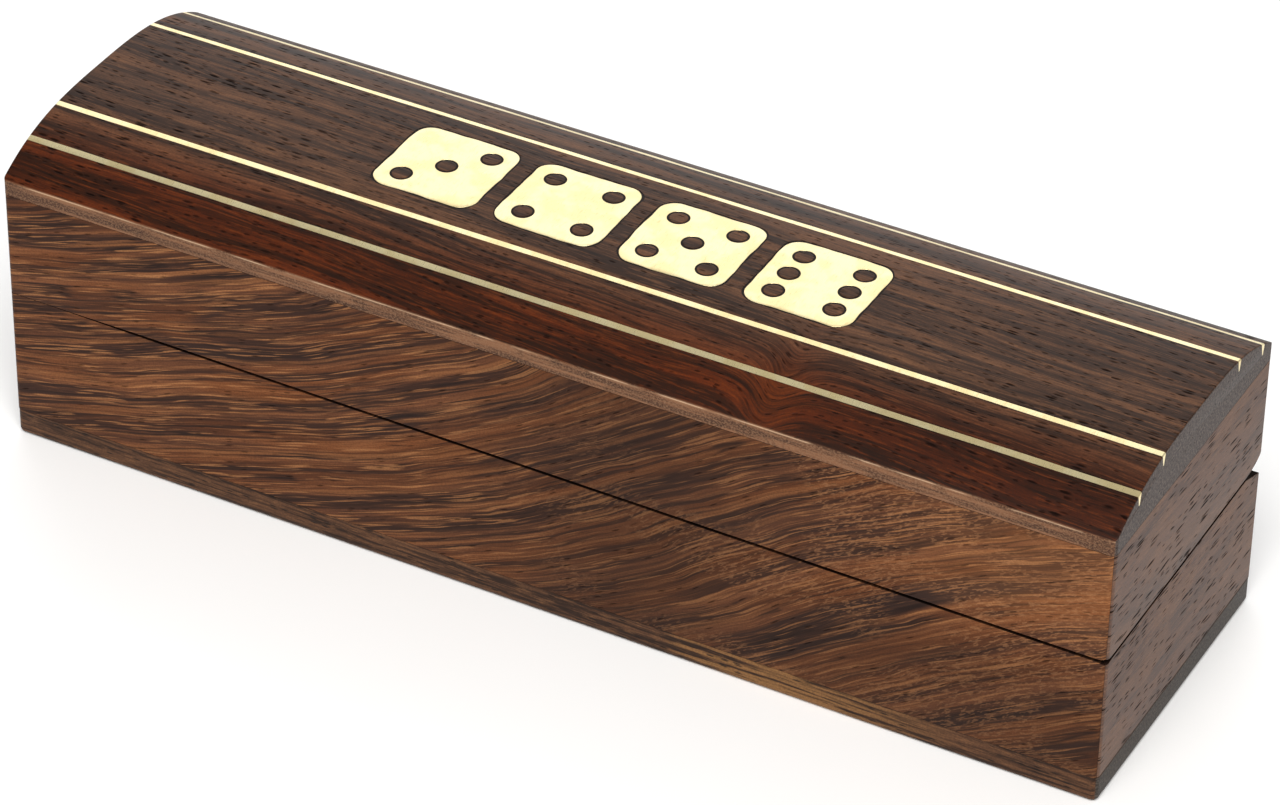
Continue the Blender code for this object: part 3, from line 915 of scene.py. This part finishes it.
def lid_outline():
    """Points (y, z) from the front band over the arch to the back band, and for each, its way in."""
    y = np.linspace(-1, 1, 201) * (HALF_WIDTH - ARRIS)
    points, inward = np.stack([y, arch(y)], 1), arch_inward(y)
    for name in STRIPS:
        low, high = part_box(name)
        near, far = low.y - KERF_PLAY, high.y + KERF_PLAY
        foot = (low.y + high.y) / 2 + np.array([-0.5, 0.5]) * STRIP_FOOT
        kerf = np.array([(near, arch(near)), (foot[0], low.z), (foot[1], low.z), (far, arch(far))])
        keep = arch_inward(kerf[:, 0]) * np.array([[1], [0], [0], [1]])
        before, after = points[:, 0] < near, points[:, 0] > far
        points = np.concatenate([points[before], kerf, points[after]])
        inward = np.concatenate([inward[before], keep, inward[after]])
    front = curve_between(np.array([-HALF_WIDTH, SPRING - ARRIS]), np.array([-HALF_WIDTH, SPRING]), points[0])
    front = np.concatenate([[(-HALF_WIDTH, TOP_LOW.z)], front[:-1]])
    turned = np.linspace(0, 1, len(front))[:, None] * (inward[0] - (1, 0)) + (1, 0)
    points = np.concatenate([front, points, front[::-1] * (-1, 1)])
    inward = np.concatenate([turned, inward, turned[::-1] * (-1, 1)])
    return points, inward


def end_stations(reach, corner, ease, middle=()):
    """Stations along a length as (x, inset, narrowing), crowded at both ends, and any in the middle.

    The narrowing follows the rounded corners in plan, and the inset a quarter circle at the end's edge.
    One more station lies inside each end, in its plane, so that smooth shading stops at the rim."""
    turns = arc(0, 90, 9)
    x = reach - corner + corner * np.sin(turns)
    inset = ease - np.sqrt(ease**2 - np.clip(x - reach + ease, 0, ease) ** 2)
    right = np.stack([x, inset, corner * (1 - np.cos(turns))], 1)
    right = np.concatenate([right, [(reach, ease * 1.2, corner + ease * 0.2)]])
    centre = np.array([(x, 0.0, 0.0) for x in middle]).reshape(-1, 3)
    return np.concatenate([right[::-1] * (-1, 1, 1), centre, right])


def swept(points, inward, stations):
    """Carries an outline (y, z) along X, drawn in by each station's inset and kept within its narrowing."""
    x, inset, narrowing = np.split(stations, 3, axis=1)
    limit = HALF_WIDTH - narrowing
    y = np.clip(points[:, 0] + inset * inward[:, 0], -limit, limit)
    z = points[:, 1] + inset * inward[:, 1]
    return np.stack([x + 0 * y, y, z], -1)


lid_grid = swept(*lid_outline(), end_stations(HALF_LENGTH, CORNER, END_EASE))
lid_board = new_object("lid_top_board", lid_grid, ring_faces(*lid_grid.shape[:2]))

# %% [markdown]
# ## Brass strips
#
# Four strips of brass stand on edge in the kerfs and run out at both ends. They are wedge-shaped, so
# that they jam tight when tapped in, and they were filed flush, so their tops follow the arch. Hand work
# shows in them: each wanders by a few hundredths of a millimetre, and its width varies a little.


# %% Strips
def strip_points(low, high, phase):
    """A narrow section whose top follows the arch, carried along X with slow waves in place and width."""
    middle, half = (low.y + high.y) / 2, (high.y - low.y) / 2
    top = np.linspace(half, -half, 5) + middle
    foot = [(middle - STRIP_FOOT / 2, low.z), (middle + STRIP_FOOT / 2, low.z)]
    outline = np.concatenate([foot, np.stack([top, arch(top)], 1)])
    on_top = outline[:, 1] > low.z + half
    inward = np.stack([0 * outline[:, 0], -1.0 * on_top], 1)
    reach = HALF_LENGTH - 0.01 * MM
    between = np.linspace(-reach, reach, 78)[1:-1] * 0.99
    grid = swept(outline, inward, end_stations(reach, END_EASE, END_EASE, between))
    x = grid[..., 0] / MM
    wander = 0.012 * np.sin(x / 7 + phase) + 0.008 * np.sin(x / 2.9 + 2 * phase)
    width = 1 + 0.035 * np.sin(x / 4.3 + 3 * phase) + 0.025 * np.sin(x / 1.9 + phase)
    grid[..., 1] = middle + (grid[..., 1] - middle) * width + wander * MM
    return grid


for number, name in enumerate(STRIPS):
    grid = strip_points(*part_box(name), phase=1.7 * number)
    strip = new_object(name + "_bar", grid, ring_faces(*grid.shape[:2]))
    finish_piece(strip, INLAY_BRASS, "lid", "inlay_brass", name)

# %% [markdown]
# ## Die faces
#
# Four brass plates lie in pockets in the lid, and their pips are wood of the lid that was left
# standing. A plate is nine cells, three by three, with a hole in the cells that hold a pip. A cell's
# grid runs in rings from the hole's rim, or from the cell's middle, out to the cell's own square rim.
# The corners of the plate turn the square into a circle there, and the rim wavers a little, as a
# fretsaw leaves it.
#
# The plate follows the arch, so it is made as a curved sheet and a Solidify modifier gives it its
# thickness. A Bevel modifier breaks its edges.

# %% Plates
FACES = {"three": 3, "four": 4, "five": 5, "six": 6}
PLATE_HALF, PLATE_CORNER, PLATE_THICKNESS = 7.25 * MM, 2.3 * MM, 1.1 * MM
PIP_PITCH, PIP_HOLE, PIP_RADIUS = 4.1 * MM, 1.45 * MM, 1.2 * MM
POCKET_PLAY, POCKET_FLOOR = 0.25 * MM, CROWN - 1.5 * MM


def pips_of(count):
    """Which of the nine cells hold a pip, as (column, row) from -1 to 1."""
    diagonals = [(-1, -1), (1, 1), (-1, 1), (1, -1)]
    cells = diagonals[:2] if count == 3 else diagonals
    if count == 6:
        cells = cells + [(-1, 0), (1, 0)]
    if count % 2:
        cells = cells + [(0, 0)]
    return cells


def square_rim(turns):
    """Points on the rim of a square of half side 1, in given directions: each divided by its larger part."""
    way = np.stack([np.cos(turns), np.sin(turns)], -1)
    return way / np.abs(way).max(-1, keepdims=True)


def soften(points, half, corner):
    """Turns a square's corners into arcs: past an arc's centre, squares round it become circles."""
    over = np.maximum(np.abs(points) - (half - corner), 0)
    length = np.maximum(np.hypot(over[..., 0], over[..., 1]), 1e-12)[..., None]
    circle = over * over.max(-1, keepdims=True) / length
    both = (over > 0).all(-1, keepdims=True)
    return np.where(both, np.sign(points) * (half - corner + circle), points)


def waver(points, half, phase, amount=0.045 * MM):
    """Moves points at the rim in and out by slow waves round the middle."""
    turn = np.arctan2(points[..., 1], points[..., 0])[..., None]
    wave = np.sin(5 * turn + phase) + 0.7 * np.sin(9 * turn + 2.3 * phase) + 0.5 * np.sin(17 * turn - phase)
    size = np.abs(points).max(-1, keepdims=True)
    at_rim = size > half * 0.86
    return np.where(at_rim, points * (1 + amount / half * wave), points)


def cell_points(column, row, hole, phase, rings=5, around=48):
    """One cell's rings in plan, from the hole's rim, or the middle, out to the cell's rim."""
    turns = arc(0, 360, around)[:-1]
    middle = np.array([column, row]) * PIP_PITCH
    high = np.where(np.array([column, row]) == 1, PLATE_HALF - PIP_PITCH, PIP_PITCH / 2)
    low = np.where(np.array([column, row]) == -1, PLATE_HALF - PIP_PITCH, PIP_PITCH / 2)
    square = square_rim(turns)
    rim = middle + square * np.where(square > 0, high, low)
    rim = waver(soften(rim, PLATE_HALF, PLATE_CORNER), PLATE_HALF, phase)
    start = middle + (PIP_HOLE if hole else 0.0) * np.stack([np.cos(turns), np.sin(turns)], -1)
    share = np.linspace(0, 1, rings)[:, None, None]
    return start + (rim - start) * share


def on_arch(plan, at, drop=0.0):
    """Moves plan points to a place on the lid, and lifts them to the arch, less a drop."""
    placed = plan + at
    return np.concatenate([placed, arch(placed[..., 1:]) - drop], -1)


def plate(count, at, phase):
    """The nine cells of a die face as one curved sheet."""
    cells = [(column, row) for column in (-1, 0, 1) for row in (-1, 0, 1)]
    plan = np.array([cell_points(*cell, cell in pips_of(count), phase) for cell in cells])
    faces = repeated(sheet_faces(*plan.shape[1:3]), len(cells), plan.shape[1] * plan.shape[2])
    return on_arch(plan, at), faces


def rim_outline(grow, phase, around=160):
    """The plate's outline in plan, grown by a play all round, with waves of its own."""
    rim = square_rim(arc(0, 360, around)[:-1]) * (PLATE_HALF + grow)
    return waver(soften(rim, PLATE_HALF + grow, PLATE_CORNER + grow), PLATE_HALF + grow, phase)


# %% [markdown]
# The wooden pips are turned from one profile: a flat top that follows the arch, a soft edge and a
# straight side. The black filler is a groove's worth of section carried round between two outlines,
# a little hollow on top, where it shrank as it dried.


# %% Pips and filler
def pip_points(middles, at):
    """A profile of (radius, drop from the arch) turned about each pip, down to the pocket's floor."""
    profile = np.array([(0, 0), (0.5, 0), (0.9, 0.0), (0.97, 0.012), (1.0, 0.05)])
    turns = arc(0, 360, 28)[:-1]
    way = np.stack([np.cos(turns), np.sin(turns)], -1)
    plan = middles[:, None, None, :] + PIP_RADIUS * profile[:, :1, None] * way
    top = on_arch(plan, at)
    top[..., 2] -= profile[:, 1:] * MM
    foot = top[:, -1:].copy()
    foot[..., 2] = POCKET_FLOOR
    return np.concatenate([top, foot], 1)


def filler_points(inner, outer, at, low):
    """Round between two outlines: a dished top just under the arch, and down to a low point."""
    shares = np.array([-0.1, 0.2, 0.5, 0.8, 1.1])[:, None]
    drops = np.array([0.02, 0.045, 0.06, 0.045, 0.02])[:, None] * MM
    plan = inner[:, None, :] + (outer - inner)[:, None, :] * shares
    top = on_arch(plan, at, drops)
    foot = top[:, [-1, 0]].copy()
    foot[..., 2] = low
    return np.concatenate([top, foot], 1)


def circles(middles, radius, around=32):
    """Circles in plan about each of the middles."""
    turns = arc(0, 360, around)[:-1]
    return middles[:, None, :] + radius * np.stack([np.cos(turns), np.sin(turns)], -1)


def add_die_face(name, count, number):
    """A plate, its pips and its filler, and the pocket for them. Returns the pocket's cutter."""
    node = f"brass_die_face_{name}"
    low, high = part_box(node)
    at, phase = np.array((low + high) / 2)[:2], 2.1 * number + 0.4
    brass = new_object(f"{node}_plate", *plate(count, at, phase), closed=False)
    sheet = brass.modifiers.new("thickness", "SOLIDIFY")
    sheet.thickness = PLATE_THICKNESS
    ease_edges(brass, 0.04 * MM)
    finish_piece(brass, INLAY_BRASS, "lid", "inlay_brass", node)

    middles = np.array(pips_of(count)) * PIP_PITCH
    pips = pip_points(middles, at)
    faces = repeated(ring_faces(*pips.shape[1:3]), len(pips), pips.shape[1] * pips.shape[2])
    finish_piece(new_object(f"die_face_{name}_pips", pips, faces), LID_WOOD, "lid", "lid_wood")

    pocket = rim_outline(POCKET_PLAY, phase + 1.0)
    groove = filler_points(rim_outline(0.0, phase), pocket, at, POCKET_FLOOR)
    filler = new_object(f"die_face_{name}_filler", groove, ring_faces(*groove.shape[:2], closed=True))
    finish_piece(filler, BLACK_FILLER, "lid", "lid_wood")
    gaps = zip(circles(middles, PIP_RADIUS), circles(middles, PIP_HOLE))
    rings = np.array([filler_points(pip, hole, at, POCKET_FLOOR) for pip, hole in gaps])
    faces = repeated(ring_faces(*rings.shape[1:3], closed=True), len(rings), rings.shape[1] * rings.shape[2])
    finish_piece(new_object(f"die_face_{name}_pip_filler", rings, faces), BLACK_FILLER, "lid", "lid_wood")

    tool = [np.insert(pocket + at, 2, height, axis=1) for height in (POCKET_FLOOR, CROWN + MM)]
    return new_object("pocket", tool, ring_faces(2, len(pocket)))


pockets = [add_die_face(name, count, number) for number, (name, count) in enumerate(FACES.items())]
cut(lid_board, *pockets)
finish_piece(lid_board, LID_WOOD, "lid", "lid_wood", "lid_top")

# %% [markdown]
# ## Hinges
#
# The plain model's hinges already have the true shape, down to the screws' slots. What they lack is
# the soft glint along each edge. So each is copied, its loose triangles are joined, flat areas are
# dissolved into single faces, and a Bevel modifier breaks the edges.


# %% Hinges
def eased_copy(node, width):
    """A copy of a plain part with its triangles merged into whole faces and its edges broken."""
    mesh = frame["nodes"][node].data.copy()
    clean = bmesh.new()
    clean.from_mesh(mesh)
    bmesh.ops.remove_doubles(clean, verts=clean.verts, dist=0.001 * MM)
    bmesh.ops.dissolve_limit(clean, angle_limit=math.radians(1), verts=clean.verts, edges=clean.edges)
    clean.to_mesh(mesh)
    clean.free()
    shade(mesh)
    piece = bpy.data.objects.new(node + "_eased", mesh)
    scene.collection.objects.link(piece)
    ease_edges(piece, width, 2, 40)
    return piece


BODY_OF = {node: body for body, nodes in frame["record"]["behaviour"]["bodies"].items() for node in nodes}
for node in [name for name in frame["nodes"] if name.startswith("hinge_")]:
    width = (0.03 if "screw" in node else 0.05) * MM
    finish_piece(eased_copy(node, width), HINGE_BRASS, BODY_OF[node], "hinge_brass", node)

# %% [markdown]
# ## The floor of the studio
#
# A wide pale sheet under the box, with the faintest mottling.


# %% Studio floor
def studio_floor():
    """A broad square in the plane of the box's underside."""
    reach = 3.0
    points = [(-reach, -reach, 0.0), (reach, -reach, 0.0), (reach, reach, 0.0), (-reach, reach, 0.0)]
    floor = new_object("studio_floor", points, [[0, 1, 2, 3]], closed=False)
    material, shader, (x, y, z) = new_finish("pale_sheet", 0.6, 0.3)
    mottle = noise(x / 60, y / 60, z, 2)
    feed(shader, Base_Color=mix(mottle, (0.9, 0.9, 0.9, 1.0), (0.94, 0.94, 0.94, 1.0)))
    floor.data.materials.append(material)


studio_floor()
